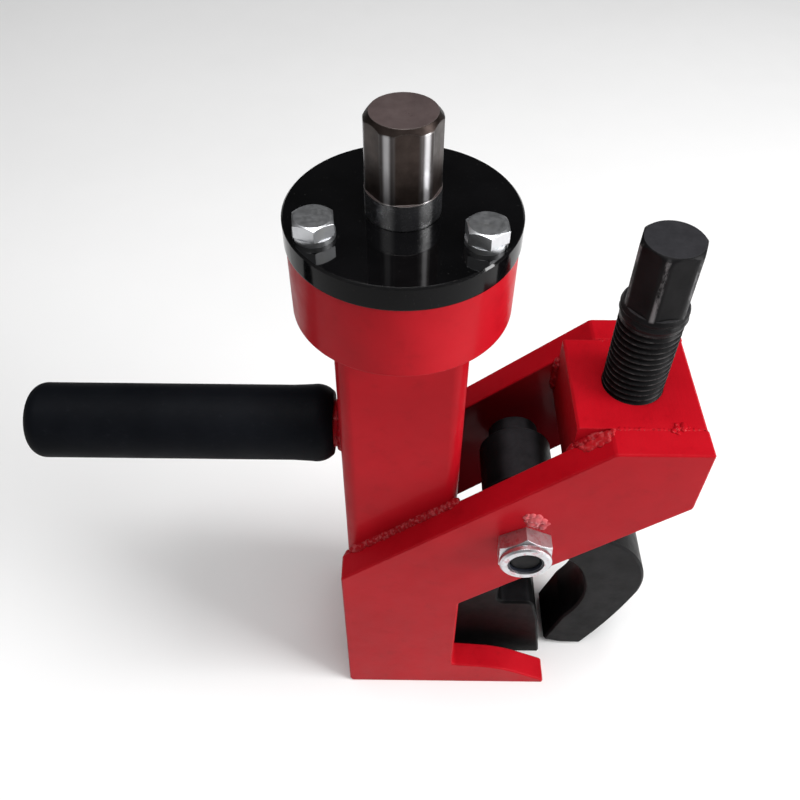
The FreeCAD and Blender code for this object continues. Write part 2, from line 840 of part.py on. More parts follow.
def pivot_nut():
    """Locking nut with a round collar that holds a nylon ring."""
    body = new_body("pivot_nut", **ON_PIVOT)
    top = f"{PLATE_FACE} + pivot_nut_height"
    hexagon_sketch = sketch_on(body, "XY_Plane", height=PLATE_FACE)
    hexagon(hexagon_sketch, "pivot_across", first_angle="pivot_nut_angle")
    pad(body, hexagon_sketch, "pivot_nut_height")
    hex_crown(body, "pivot_across", top, "pivot_crown")
    turn(body, [
        ("nylon_outer", f"{top} - pivot_edge"),
        ("pivot_neck", f"{top} - pivot_edge"),
        ("pivot_neck", f"{top} + pivot_neck_height"),
        ("pivot_collar", f"{top} + pivot_neck_height"),
        ("pivot_collar", f"{top} + pivot_collar_height - pivot_edge"),
        ("pivot_collar - pivot_edge", f"{top} + pivot_collar_height"),
        ("pivot_lip", f"{top} + pivot_collar_height"),
        ("pivot_lip", f"{top} + pivot_collar_height - pivot_lip_height"),
        ("nylon_outer", f"{top} + pivot_collar_height - pivot_lip_height"),
    ])
    bore = sketch_on(body, "XY_Plane", height=top)
    circle(bore, "pivot_radius")
    pocket(body, bore, "pivot_nut_height")


def nut_nylon_ring():
    """Nylon ring that stops the nut from turning loose."""
    top = f"{PLATE_FACE} + pivot_nut_height"
    tube("nut_nylon_ring", "pivot_end_radius", "nylon_outer", top,
         f"{top} + pivot_collar_height - pivot_lip_height", **ON_PIVOT)


def both_sides(label, inner, outer, near, far):
    """One ring each side of the hook."""
    body = new_body(label, **ON_PIVOT)
    for sign in ("", "-"):
        turn(body, [(inner, f"{sign}({near})"), (outer, f"{sign}({near})"),
                    (outer, f"{sign}({far})"), (inner, f"{sign}({far})")])


def pivot_washers():
    both_sides("pivot_washers", "pivot_radius", "side_washer", "hook_thickness / 2 + side_gap",
               "hook_thickness / 2 + side_gap + side_washer_thickness")


def pivot_spacers():
    """Tubes that keep the hook in the middle between the plates."""
    both_sides("pivot_spacers", "pivot_radius", "spacer_outer",
               "hook_thickness / 2 + side_gap + side_washer_thickness", "column_side / 2")


def hook_bush():
    """Bronze bush pressed in the hook's eye."""
    tube("hook_bush", "pivot_radius + pivot_clearance", "bush_radius",
         "0 - hook_thickness / 2", "hook_thickness / 2", **ON_PIVOT)


# ---- handle ---------------------------------------------------------------------------

# The handle's parts stand on the handle's axis, with their own Z away from the column.
ON_HANDLE = {"z": "handle_height", "rotation": Rotation(Vector(0, 1, 0), -90)}


def handle_rod():
    """Round bar through the column's wall that carries the grip."""
    body = new_body("handle_rod", **ON_HANDLE)
    turn(body, [
        ("0", "rod_start"),
        ("rod_radius", "rod_start"),
        ("rod_radius", "rod_end - rod_edge"),
        ("rod_radius - rod_edge", "rod_end"),
        ("0", "rod_end"),
    ])


def handle_grip():
    """Moulded grip over the rod, with rounded ends and a slight flare near the column."""
    body = new_body("handle_grip", **ON_HANDLE)
    turn(body, [
        ("rod_radius", "grip_inner_end"),
        ("grip_neck", "grip_inner_end", "grip_inner_round"),
        ("grip_flare", "grip_flare_at"),
        ("grip_radius", "grip_flare_end"),
        ("grip_radius", "grip_outer_end - grip_round", "grip_round"),
        ("grip_radius - grip_round", "grip_outer_end"),
        ("0", "grip_outer_end"),
        ("0", "rod_end"),
        ("rod_radius - rod_edge", "rod_end"),
        ("rod_radius", "rod_end - rod_edge"),
    ])


column_tube()
bearing_housing()
cap_plate()
cap_washers()
cap_bolts()
guide_bush()
grooved_race("thrust_race_lower", "collar_top + race_thickness", "collar_top", "groove_radius")
grooved_race("thrust_race_upper", "housing_top - race_thickness", "housing_top", "-groove_radius")
thrust_cage()
thrust_balls()
drive_screw()
ram_bar()
ram_nut()
ram_foot()
foot_screws()
side_plate("side_plate_front", -1)
side_plate("side_plate_rear", 1)
head_block()
clamp_screw()
clamp_pad()
hook_jaw()
hook_bush()
pivot_bolt()
pivot_nut()
nut_nylon_ring()
pivot_washers()
pivot_spacers()
handle_rod()
handle_grip()
doc.recompute()

for item in doc.Objects:
    if "Invalid" in item.State or "Error" in item.State:
        raise RuntimeError(f"{item.Label} of {item.TypeId} failed: {item.State}")

bodies = [item for item in doc.Objects if item.TypeId == "PartDesign::Body"]
for body in bodies:
    if body.Shape.isNull() or not body.Shape.isValid():
        raise RuntimeError(f"{body.Label} has no valid shape")

os.makedirs("parts", exist_ok=True)
for body in bodies:
    body.Shape.exportStep(f"parts/{body.Label}.step")
    box = body.Shape.BoundBox
    print(f"{body.Label:20s} {len(body.Shape.Solids)} solids {body.Shape.Volume / 1000:9.2f} cm3  "
          f"X {box.XMin:7.1f} {box.XMax:7.1f}  Y {box.YMin:6.1f} {box.YMax:6.1f}  "
          f"Z {box.ZMin:6.1f} {box.ZMax:6.1f}")
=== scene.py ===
import json
import math

import bpy
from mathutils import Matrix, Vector, noise


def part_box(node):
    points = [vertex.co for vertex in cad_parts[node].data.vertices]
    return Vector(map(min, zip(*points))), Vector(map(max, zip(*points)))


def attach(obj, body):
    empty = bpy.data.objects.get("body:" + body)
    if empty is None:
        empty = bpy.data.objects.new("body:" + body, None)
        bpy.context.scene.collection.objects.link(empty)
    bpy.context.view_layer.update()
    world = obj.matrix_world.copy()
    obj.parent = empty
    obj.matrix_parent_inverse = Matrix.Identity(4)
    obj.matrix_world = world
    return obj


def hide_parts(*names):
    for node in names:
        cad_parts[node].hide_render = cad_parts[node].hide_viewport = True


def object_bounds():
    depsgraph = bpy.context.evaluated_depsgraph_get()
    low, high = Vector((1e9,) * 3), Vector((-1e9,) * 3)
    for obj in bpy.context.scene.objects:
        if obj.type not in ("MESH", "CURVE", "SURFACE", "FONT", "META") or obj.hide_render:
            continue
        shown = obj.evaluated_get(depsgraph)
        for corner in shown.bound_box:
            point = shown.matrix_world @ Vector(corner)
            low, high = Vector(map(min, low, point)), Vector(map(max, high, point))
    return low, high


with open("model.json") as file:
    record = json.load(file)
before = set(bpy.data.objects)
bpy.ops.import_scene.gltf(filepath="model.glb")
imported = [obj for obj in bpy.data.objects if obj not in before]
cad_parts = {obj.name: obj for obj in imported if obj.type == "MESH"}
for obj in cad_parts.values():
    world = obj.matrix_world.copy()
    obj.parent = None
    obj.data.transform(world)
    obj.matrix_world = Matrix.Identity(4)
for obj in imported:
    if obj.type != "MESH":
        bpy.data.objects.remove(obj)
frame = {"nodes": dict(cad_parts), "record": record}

# Bead breaker in enamel, zinc, blackened steel and moulded rubber. Metres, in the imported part's
# own frame: Z up along the drive screw, X from the handle to the hook, Y to the rear plate.

cad_low, cad_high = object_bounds()
MM = 0.001


class Span:
    """The box of a CAD node at rest."""

    def __init__(self, node):
        low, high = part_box(node)
        self.low = Vector(low)
        self.high = Vector(high)
        self.centre = (self.low + self.high) / 2
        self.size = self.high - self.low


COLUMN = Span("column_tube")
HOUSING = Span("bearing_housing")
BLOCK = Span("head_block")
FRONT_PLATE = Span("side_plate_front")
CLAMP = Span("clamp_screw")
ROD = Span("handle_rod")
NUT = Span("pivot_nut")

SEAM_Y = COLUMN.high.y                   # the plates lie against the column's sides
COLUMN_ROUND = 7 * MM                    # radius of the column's corners
SHOULDER = Vector((-0.033, 0, 0.1322))   # where the plates' sloping top starts
ARM_BEND = Vector((0.099, 0, 0.2465))    # where it turns level
SLOPE = (ARM_BEND.z - SHOULDER.z) / (ARM_BEND.x - SHOULDER.x)

# drive screw
SHAFT_CORNER = 0.0154                    # radius of the hexagon's turned corners
SHAFT_FLATS_END = 0.3598                 # height of the flats' lower end
SHAFT_TURN = 6                           # degrees from X to the hexagon's first corner

# clamp screw
CLAMP_TURN = 10                          # degrees from X to the hexagon's first corner
CLAMP_CORNER = 14.7 * MM
CLAMP_FLAT = 13.5 * MM                   # from the axis to a flat
CLAMP_FLATS_END = 0.3
FLARE_BOTTOM = 0.294                     # the thread runs out into a flare under the hexagon
THREAD_CREST = 15.0 * MM
THREAD_ROOT = 13.0 * MM
THREAD_PITCH = 3.5 * MM
THREAD_END = 0.146                       # the thread's lower end, above the ball tip
TIP_RADIUS = 8 * MM

WELD_STEP = 0.35 * MM                    # spacing of a weld bead's rings
WELD_SIDES = 18
WELD_RIPPLE = 2.3 * MM
GOLDEN_TURN = 2.39996                    # radians, spreads lumps evenly over a patch


def slope_height(x):
    """Height of the plates' sloping top edge."""
    return SHOULDER.z + SLOPE * (x - SHOULDER.x)


# ---- materials ------------------------------------------------------------------------

# lighter red for the edges: partly thin enamel, partly a painted edge highlight
THIN_ENAMEL_AND_HIGHLIGHT = (0.70, 0.060, 0.072)
CHIPPED = (0.09, 0.055, 0.05)
PALE_DUST = (0.75, 0.45, 0.42)
# pale pink specks: partly chalky paint, partly painted glints on rough weld
CHALK_AND_GLINT = (0.62, 0.15, 0.16)
# painted shade colour for the gap between the side plates
GAP_SHADE = (0.012, 0.0015, 0.003)
OVERSPRAY = (0.46, 0.07, 0.10)


class Finish:
    """A procedural material, with short calls for the nodes it is made of."""

    def __init__(self, name):
        self.material = bpy.data.materials.new(name)
        self.material.use_nodes = True
        self.nodes = self.material.node_tree.nodes
        self.links = self.material.node_tree.links
        self.shader = self.nodes["Principled BSDF"]
        self.place = self.nodes.new("ShaderNodeTexCoord").outputs["Object"]
        self.facing = self.nodes.new("ShaderNodeNewGeometry").outputs["Normal"]

    def feed(self, socket, value):
        """Links a socket to another, or sets its value."""
        if isinstance(value, bpy.types.NodeSocket):
            self.links.new(value, socket)
        elif isinstance(value, (tuple, list)) and len(value) == 3 and socket.type == "RGBA":
            socket.default_value = (*value, 1)
        else:
            socket.default_value = value

    def set(self, **values):
        """Sets shader sockets by name, with underscores for spaces."""
        for name, value in values.items():
            self.feed(self.shader.inputs[name.replace("_", " ")], value)

    def calc(self, operation, *values):
        node = self.nodes.new("ShaderNodeMath")
        node.operation = operation
        for socket, value in zip(node.inputs, values):
            self.feed(socket, value)
        return node.outputs[0]

    def product(self, first, *others):
        for other in others:
            first = self.calc("MULTIPLY", first, other)
        return first

    def inverse(self, value):
        return self.calc("SUBTRACT", 1.0, value)

    def vector(self, operation, first, second=(0, 0, 0), output=0):
        node = self.nodes.new("ShaderNodeVectorMath")
        node.operation = operation
        self.feed(node.inputs[0], first)
        self.feed(node.inputs[1], second)
        return node.outputs[output]

    def stretched(self, x=1, y=1, z=1):
        """The place, scaled along each axis; a small scale draws noise out into lines."""
        return self.vector("MULTIPLY", self.place, (x, y, z))

    def from_axis(self, middle_x=0.0):
        """Distance from an upright axis."""
        place = self.vector("SUBTRACT", self.place, (middle_x, 0, 0))
        return self.vector("LENGTH", self.vector("MULTIPLY", place, (1, 1, 0)), output=1)

    def from_corner(self, first, count, middle_x=0.0):
        """Angle round an upright axis from the nearest of evenly spaced corners, in degrees."""
        turn = self.calc(
            "ARCTAN2", self.axis("Y"), self.calc("SUBTRACT", self.axis("X"), middle_x))
        share = self.calc("MULTIPLY_ADD", turn, count / (2 * math.pi), 0.5 - first * count / 360)
        part = self.calc("SUBTRACT", self.calc("FLOORED_MODULO", share, 1.0), 0.5)
        return self.product(self.calc("ABSOLUTE", part), 360 / count)

    def noise(self, scale, detail=3.0, rough=0.55, where=None):
        node = self.nodes.new("ShaderNodeTexNoise")
        self.feed(node.inputs["Vector"], where or self.place)
        self.feed(node.inputs["Scale"], scale)
        self.feed(node.inputs["Detail"], detail)
        self.feed(node.inputs["Roughness"], rough)
        return node.outputs["Fac"]

    def ramp(self, factor, *stops):
        """A colour or value ramp of (position, colour or value) stops."""
        node = self.nodes.new("ShaderNodeValToRGB")
        self.feed(node.inputs[0], factor)
        elements = node.color_ramp.elements
        while len(elements) < len(stops):
            elements.new(0.5)
        for element, (position, value) in zip(elements, stops):
            element.position = position
            colour = value if isinstance(value, tuple) else (value,) * 3
            element.color = (*colour, 1)
        return node.outputs[0]

    def step(self, value, start, end):
        """0 below start, 1 above end, smooth between."""
        node = self.nodes.new("ShaderNodeMapRange")
        node.interpolation_type = "SMOOTHSTEP"
        self.feed(node.inputs["Value"], value)
        self.feed(node.inputs["From Min"], start)
        self.feed(node.inputs["From Max"], end)
        return node.outputs[0]

    def patches(self, scale, detail, rough, start, end, where=None):
        """Noise patches: 0 where the noise is below start, 1 where it is above end."""
        return self.step(self.noise(scale, detail, rough, where), start, end)

    def blend(self, factor, first, second):
        node = self.nodes.new("ShaderNodeMix")
        node.data_type = "RGBA"
        self.feed(node.inputs[0], factor)
        self.feed(node.inputs[6], first)
        self.feed(node.inputs[7], second)
        return node.outputs[2]

    def axis(self, name):
        node = self.nodes.new("ShaderNodeSeparateXYZ")
        self.feed(node.inputs[0], self.place)
        return node.outputs[name]

    def facing_axis(self, name):
        """How much the true surface faces along an axis, either way."""
        node = self.nodes.new("ShaderNodeSeparateXYZ")
        self.feed(node.inputs[0], self.facing)
        return self.calc("ABSOLUTE", node.outputs[name])

    def soft_edges(self, radius):
        """The surface normal with its sharp edges rounded in shading."""
        node = self.nodes.new("ShaderNodeBevel")
        node.samples = 4
        node.inputs["Radius"].default_value = radius
        return node.outputs[0]

    def edge_wear(self, rounded):
        """1 on sharp edges and 0 on flat ground, from the rounded normal."""
        flat = self.vector("DOT_PRODUCT", rounded, self.facing, output=1)
        return self.step(self.inverse(flat), 0.01, 0.25)

    def bumps(self, rounded, *layers):
        """Stacks (height, depth in metres, strength) layers on a normal."""
        normal = rounded
        for height, depth, strength in layers:
            node = self.nodes.new("ShaderNodeBump")
            self.feed(node.inputs["Height"], height)
            self.feed(node.inputs["Distance"], depth)
            self.feed(node.inputs["Strength"], strength)
            if normal is not None:
                self.feed(node.inputs["Normal"], normal)
            normal = node.outputs[0]
        self.set(Normal=normal)


def shade_between_plates(f):
    """Mask for painted shade: 1 in the gap between the side plates, under the head block and
    beyond the column.
    """
    between = f.calc("LESS_THAN", f.calc("ABSOLUTE", f.axis("Y")), SEAM_Y + 0.3 * MM)
    below = f.inverse(f.step(f.axis("Z"), BLOCK.low.z - 10 * MM, BLOCK.high.z - 2 * MM))
    beyond = f.step(f.axis("X"), COLUMN.high.x + 0.5 * MM, COLUMN.high.x + 1.5 * MM)
    return f.product(between, below, beyond)


def red_enamel(name, deep=(0.34, 0.0030, 0.0080), light=(0.44, 0.0052, 0.0125),
               lumpy=0.0, chalk_and_glint=0.0):
    """Red enamel, thin on the edges (partly a painted edge highlight), over flame-cut or welded
    steel, with painted shade in the gap.
    """
    f = Finish(name)
    rounded = f.soft_edges(0.9 * MM)
    base = f.ramp(f.noise(16, 4, 0.6), (0.3, deep), (0.7, light))
    shade = tuple(channel * 0.72 for channel in deep)
    wear = f.edge_wear(rounded)
    layers = (
        (f.product(f.patches(90, 5, 0.65, 0.52, 0.75), 0.35), shade),
        # lighter red on the edges: partly thin enamel, partly a painted edge highlight
        (f.product(wear, f.patches(240, 4, 0.55, 0.35, 0.7), 0.45), THIN_ENAMEL_AND_HIGHLIGHT),
        (f.product(wear, f.patches(650, 3, 0.7, 0.66, 0.70)), CHIPPED),
        (f.product(f.patches(420, 6, 0.75, 0.60, 0.85), 0.025), PALE_DUST),
        # pale pink specks: partly chalky paint, partly painted glints on rough weld
        (f.product(f.patches(480, 3, 0.6, 0.48, 0.62), chalk_and_glint), CHALK_AND_GLINT),
        # painted shade in the gap between the plates and under the head block
        (f.product(shade_between_plates(f), 0.72), GAP_SHADE),
    )
    for amount, colour in layers:
        base = f.blend(amount, base, colour)
    f.set(
        Base_Color=base,
        Roughness=f.ramp(f.noise(70, 5, 0.6), (0.3, 0.30), (0.7, 0.46)),
        Specular_IOR_Level=0.05,
        Coat_Weight=0.06,
        Coat_Roughness=0.10,
    )
    drag_lines = f.noise(520, 2, 0.5, where=f.stretched(y=0.06))
    cut_face = f.inverse(f.step(f.facing_axis("Y"), 0.3, 0.6))
    f.bumps(
        rounded,
        (f.noise(38, 2), 0.9 * MM, 0.10 + lumpy),
        (f.noise(420, 2), 0.16 * MM, 0.22 + lumpy),
        (f.product(drag_lines, cut_face), 0.25 * MM, 0.35),
    )
    return f.material


def gloss_black():
    """Black enamel on a turned cover, polished on top, with specks of dust."""
    f = Finish("gloss_black_enamel")
    rounded = f.soft_edges(0.7 * MM)
    tone = f.ramp(f.noise(30, 4), (0.35, (0.0012, 0.0012, 0.0014)),
                  (0.7, (0.0030, 0.0029, 0.0033)))
    specks = f.product(f.patches(900, 2, 0.7, 0.70, 0.76), 0.12)
    tone = f.blend(specks, tone, (0.25, 0.24, 0.23))
    wear = f.product(f.edge_wear(rounded), f.patches(300, 4, 0.55, 0.5, 0.7), 0.5)
    tone = f.blend(wear, tone, (0.10, 0.09, 0.09))
    f.set(
        Base_Color=tone,
        Roughness=f.ramp(f.noise(55, 6, 0.7), (0.35, 0.07), (0.75, 0.17)),
        Specular_IOR_Level=0.07,
        Coat_Weight=f.ramp(f.step(f.facing_axis("Z"), 0.4, 0.9), (0.0, 0.04), (1.0, 0.85)),
        Coat_Roughness=0.04,
    )
    f.bumps(rounded, (f.noise(45, 2), 0.5 * MM, 0.06), (f.noise(700, 2), 0.06 * MM, 0.10))
    return f.material


def zinc(name, marks=0.12, overspray=0.0):
    """Bright zinc plate, slightly dulled, with handling marks and any red overspray."""
    f = Finish(name)
    rounded = f.soft_edges(0.35 * MM)
    tone = f.ramp(f.noise(150, 5, 0.6), (0.3, (0.52, 0.53, 0.54)),
                  (0.55, (0.58, 0.59, 0.61)), (0.8, (0.66, 0.66, 0.65)))
    grime = f.product(f.patches(190, 5, 0.7, 0.52, 0.78), marks)
    tone = f.blend(grime, tone, (0.20, 0.18, 0.16))
    speckle = f.product(f.patches(330, 5, 0.7, 0.50, 0.66), overspray)
    tone = f.blend(speckle, tone, OVERSPRAY)
    gloss = f.ramp(f.noise(500, 4), (0.3, 0.32), (0.7, 0.40))
    f.set(Base_Color=tone, Metallic=1.0, Roughness=gloss)
    f.bumps(rounded, (f.noise(260, 3), 0.05 * MM, 0.12), (f.noise(1800, 2), 0.02 * MM, 0.20))
    return f.material


def shaft_steel():
    """Drive screw: dark milled flats, turned corners and a bare round shoulder."""
    f = Finish("drive_screw_steel")
    rounded = f.soft_edges(0.5 * MM)
    turned = f.step(f.from_axis(), SHAFT_CORNER - 0.35 * MM, SHAFT_CORNER - 0.05 * MM)
    shoulder = f.inverse(
        f.step(f.axis("Z"), SHAFT_FLATS_END - 1.2 * MM, SHAFT_FLATS_END + 0.2 * MM))
    end_face = f.step(f.facing_axis("Z"), 0.6, 0.9)
    stain = f.noise(60, 5, 0.65)
    drawn = f.noise(90, 4, where=f.stretched(z=0.12))
    corner_turn = f.from_corner(SHAFT_TURN, 6)

    flats = f.ramp(stain, (0.3, (0.019, 0.013, 0.011)), (0.6, (0.052, 0.038, 0.033)),
                   (0.85, (0.10, 0.078, 0.068)))
    corners = f.ramp(drawn, (0.3, (0.040, 0.034, 0.033)), (0.75, (0.095, 0.086, 0.084)))
    # Bright streak along each turned corner: partly rubbed steel, partly a painted highlight.
    rubbed = f.inverse(f.step(corner_turn, 1.5, 7.5))
    corners = f.blend(f.product(rubbed, f.ramp(drawn, (0.3, 0.55), (0.7, 0.95))),
                      corners, (0.62, 0.61, 0.62))
    bare = f.ramp(drawn, (0.3, (0.09, 0.09, 0.10)), (0.75, (0.22, 0.22, 0.23)))
    # Bright streaks on the shoulder, in line with the corners, are painted reflections.
    bare = f.blend(f.inverse(f.step(corner_turn, 2.0, 15.0)), bare, (0.88, 0.88, 0.89))
    end_tone = f.ramp(stain, (0.3, (0.060, 0.043, 0.042)), (0.7, (0.105, 0.078, 0.076)))

    tone = f.blend(turned, flats, corners)
    tone = f.blend(shoulder, tone, bare)
    tone = f.blend(end_face, tone, end_tone)
    tone = f.blend(f.product(f.edge_wear(rounded), 0.35), tone, (0.34, 0.32, 0.31))
    gloss = f.ramp(f.noise(220, 5), (0.3, 0.27), (0.75, 0.45))
    gloss = f.blend(shoulder, gloss, f.ramp(f.noise(300, 4), (0.3, 0.20), (0.75, 0.32)))
    metal = f.ramp(end_face, (0.0, 0.9), (1.0, 0.15))
    f.set(Base_Color=tone, Metallic=metal, Roughness=gloss)

    lathe = f.noise(1500, 1, 0.5, where=f.stretched(x=0.02, y=0.02))
    mill = f.noise(900, 2, 0.5, where=f.stretched(z=0.05))
    f.bumps(
        rounded,
        (f.product(lathe, f.calc("MAXIMUM", turned, shoulder)), 0.05 * MM, 0.5),
        (f.product(mill, f.inverse(turned)), 0.05 * MM, 0.35),
        (f.noise(120, 3), 0.15 * MM, 0.2),
    )
    return f.material


def rub_and_highlight_clamp_screw(f, tone):
    """Bares the clamp screw's hexagon corners and the crests of its thread, partly as painted
    highlights.
    """
    middle = CLAMP.centre.x
    height = f.axis("Z")
    above = f.step(height, CLAMP_FLATS_END - 1 * MM, CLAMP_FLATS_END)
    streak = f.inverse(f.step(f.from_corner(CLAMP_TURN, 6, middle), 1.5, 6.0))
    upright = f.inverse(f.step(f.facing_axis("Z"), 0.35, 0.8))
    broken = f.patches(130, 5, 0.7, 0.44, 0.60, where=f.stretched(z=0.35))
    bare = f.product(streak, broken, above, upright, 0.75)
    # light streaks on the corners: partly rubbed steel, partly painted highlights
    tone = f.blend(bare, tone, (0.24, 0.235, 0.24))

    crest = f.step(f.from_axis(middle), THREAD_CREST - 0.4 * MM, THREAD_CREST - 0.05 * MM)
    threaded = f.inverse(f.step(height, CLAMP_FLATS_END - 9 * MM, CLAMP_FLATS_END - 7.5 * MM))
    # light crests: partly worn thread, partly painted highlights
    worn_crest_highlight = f.product(crest, f.patches(160, 5, 0.7, 0.42, 0.62), threaded, 0.35)
    return f.blend(worn_crest_highlight, tone, (0.14, 0.135, 0.135))


def blackened(name, bright, screw=False):
    """Oiled black-oxide steel, rubbed bare on its edges, lighter on its level faces."""
    f = Finish(name)
    rounded = f.soft_edges(0.8 * MM)
    tone = f.ramp(f.noise(45, 5, 0.6),
                  (0.3, (0.0030 * bright, 0.0030 * bright, 0.0034 * bright)),
                  (0.7, (0.0120 * bright, 0.0115 * bright, 0.0124 * bright)))
    wear = f.product(f.edge_wear(rounded), f.patches(200, 5, 0.7, 0.38, 0.65), 0.6 * bright)
    tone = f.blend(wear, tone, (0.14, 0.135, 0.13))
    rubbed = f.product(f.patches(35, 6, 0.75, 0.58, 0.74), 0.25 * bright)
    tone = f.blend(rubbed, tone, (0.035, 0.033, 0.031))
    # Level faces are made lighter; the noise below sets by how much.
    dust = f.ramp(f.noise(110, 5, 0.7), (0.35, 0.24), (0.7, 0.42))
    lighter_level_faces = f.product(f.step(f.facing_axis("Z"), 0.8, 0.97), dust, bright)
    tone = f.blend(lighter_level_faces, tone, (0.085, 0.084, 0.094))
    if screw:
        tone = rub_and_highlight_clamp_screw(f, tone)
    gloss = f.ramp(f.noise(130, 6, 0.65), (0.3, 0.34), (0.72, 0.52))
    f.set(Base_Color=tone, Roughness=gloss, Specular_IOR_Level=0.07)
    f.bumps(rounded, (f.noise(70, 3), 0.5 * MM, 0.16), (f.noise(600, 3, 0.6), 0.08 * MM, 0.30))
    return f.material


def ground_steel(name, dark, light):
    """Bare machined metal with fine tool lines and stains."""
    f = Finish(name)
    rounded = f.soft_edges(0.4 * MM)
    tone = f.ramp(f.noise(90, 5, 0.6), (0.3, dark), (0.7, light))
    stain = f.product(f.patches(40, 5, 0.7, 0.55, 0.75), 0.35)
    tone = f.blend(stain, tone, tuple(channel * 0.4 for channel in dark))
    gloss = f.ramp(f.noise(300, 4), (0.3, 0.18), (0.7, 0.36))
    f.set(Base_Color=tone, Metallic=1.0, Roughness=gloss)
    f.bumps(rounded, (f.noise(1400, 2, 0.5, where=f.stretched(z=0.03)), 0.04 * MM, 0.4))
    return f.material


def moulded_grip():
    """Matt black moulded rubber with a fine grain and dusty patches."""
    f = Finish("moulded_rubber")
    tone = f.ramp(f.noise(18, 4, 0.6), (0.3, (0.0022, 0.0027, 0.0040)),
                  (0.72, (0.0055, 0.0063, 0.0085)))
    dusty = f.product(f.patches(260, 6, 0.75, 0.55, 0.85), 0.10)
    tone = f.blend(dusty, tone, (0.07, 0.07, 0.08))
    gloss = f.ramp(f.noise(34, 5, 0.65), (0.3, 0.50), (0.7, 0.68))
    f.set(Base_Color=tone, Roughness=gloss, Specular_IOR_Level=0.05)
    f.bumps(None, (f.noise(1500, 3, 0.6), 0.07 * MM, 0.35), (f.noise(60, 2), 0.5 * MM, 0.10))
    return f.material


def dark_nylon():
    """The locking nut's dark nylon ring."""
    f = Finish("dark_nylon")
    tone = f.ramp(f.noise(400, 4), (0.3, (0.006, 0.008, 0.015)), (0.7, (0.018, 0.021, 0.032)))
    f.set(Base_Color=tone, Roughness=f.ramp(f.noise(300, 3), (0.3, 0.35), (0.7, 0.55)))
    f.bumps(None, (f.noise(700, 3), 0.1 * MM, 0.3))
    return f.material


RED = red_enamel("red_enamel")
# The weld beads' darker red is painted shade.
SHADED_WELD_RED = red_enamel("red_enamel_on_weld_painted_shade", (0.26, 0.0022, 0.006), (0.38, 0.006, 0.012),
                      lumpy=0.45, chalk_and_glint=0.30)
# The filled weld's lighter, pinker red is a painted highlight.
HIGHLIT_FILLED_RED = red_enamel("red_enamel_on_filled_weld_painted_highlight", (0.36, 0.007, 0.012),
                        (0.46, 0.018, 0.024), lumpy=0.35, chalk_and_glint=0.22)
# The pale pink red of the spatter beside the nut is a painted highlight.
HIGHLIT_SPATTER_RED = red_enamel("red_spatter_painted_highlight", (0.44, 0.045, 0.055), (0.62, 0.14, 0.15),
                      lumpy=0.35)
SATIN_BLACK = blackened("black_oxide", 0.8)
CLAMP_BLACK = blackened("black_oxide_on_screw", 0.8, screw=True)
# A darker copy of the black oxide for the ram foot and the hook's bush: painted shade.
SHADED_BLACK_OXIDE = blackened("black_oxide_painted_shade", 0.35)

FINISHES = {
    "red_paint": RED,
    "black_gloss": gloss_black(),
    "zinc_plate": zinc("bright_zinc"),
    "screw_steel": shaft_steel(),
    "black_oxide": SATIN_BLACK,
    "bright_steel": ground_steel("bright_steel", (0.30, 0.30, 0.31), (0.52, 0.52, 0.53)),
    "bearing_steel": ground_steel("bearing_steel", (0.48, 0.48, 0.50), (0.68, 0.68, 0.70)),
    "bronze": ground_steel("bronze", (0.36, 0.19, 0.06), (0.55, 0.33, 0.12)),
    "black_grip": moulded_grip(),
    "nylon": dark_nylon(),
}
OWN_FINISHES = {
    "ram_foot": SHADED_BLACK_OXIDE,
    "hook_bush": SHADED_BLACK_OXIDE,
    "pivot_nut": zinc("zinc_beside_weld", marks=0.55, overspray=0.45),
}

SLOT_OF = {part["node"]: part["material_slot"] for part in frame["record"]["subparts"]}
for node_name, node_object in frame["nodes"].items():
    finish = OWN_FINISHES.get(node_name, FINISHES[SLOT_OF[node_name]])
    if not node_object.material_slots:
        node_object.data.materials.append(finish)
    for material_slot in node_object.material_slots:
        material_slot.material = finish


# ---- mesh pieces ----------------------------------------------------------------------

def make_piece(name, points, faces, material, body):
    """A smooth-shaded mesh that rides on a body."""
    mesh = bpy.data.meshes.new(name)
    mesh.from_pydata([tuple(point) for point in points], [], faces)
    mesh.validate()
    mesh.shade_smooth()
    mesh.materials.append(material)
    piece = bpy.data.objects.new(name, mesh)
    bpy.context.scene.collection.objects.link(piece)
    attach(piece, body)
    return piece


def skin(rings, closed_loop=False):
    """Faces over rings of equal length; the ends are capped unless the rings form a loop."""
    count = len(rings[0])
    points = [point for ring in rings for point in ring]
    faces = []
    last = len(rings) if closed_loop else len(rings) - 1
    for row in range(last):
        here = row * count
        there = (row + 1) % len(rings) * count
        for column in range(count):
            after = (column + 1) % count
            faces.append((here + column, here + after, there + after, there + column))
    if not closed_loop:
        faces.append(tuple(reversed(range(count))))
        faces.append(tuple((len(rings) - 1) * count + column for column in range(count)))
    return points, faces


def circle(count):
    """Angles evenly round a full turn."""
    return [2 * math.pi * step / count for step in range(count)]


def resample(route, spacing, loop=False):
    """Points at even spacing along a route, each with the route's direction, and its length."""
    ends = route[1:] + [route[0]] if loop else route[1:]
    legs = list(zip(route, ends))
    total = sum((end - start).length for start, end in legs)
    count = max(4, round(total / spacing))
    samples = []
    for index in range(count if loop else count + 1):
        left = total * index / count
        for start, end in legs:
            length = (end - start).length
            if left <= length or (start, end) == legs[-1]:
                place = start.lerp(end, min(left / length, 1))
                samples.append((place, (end - start).normalized()))
                break
            left -= length
    return samples, total


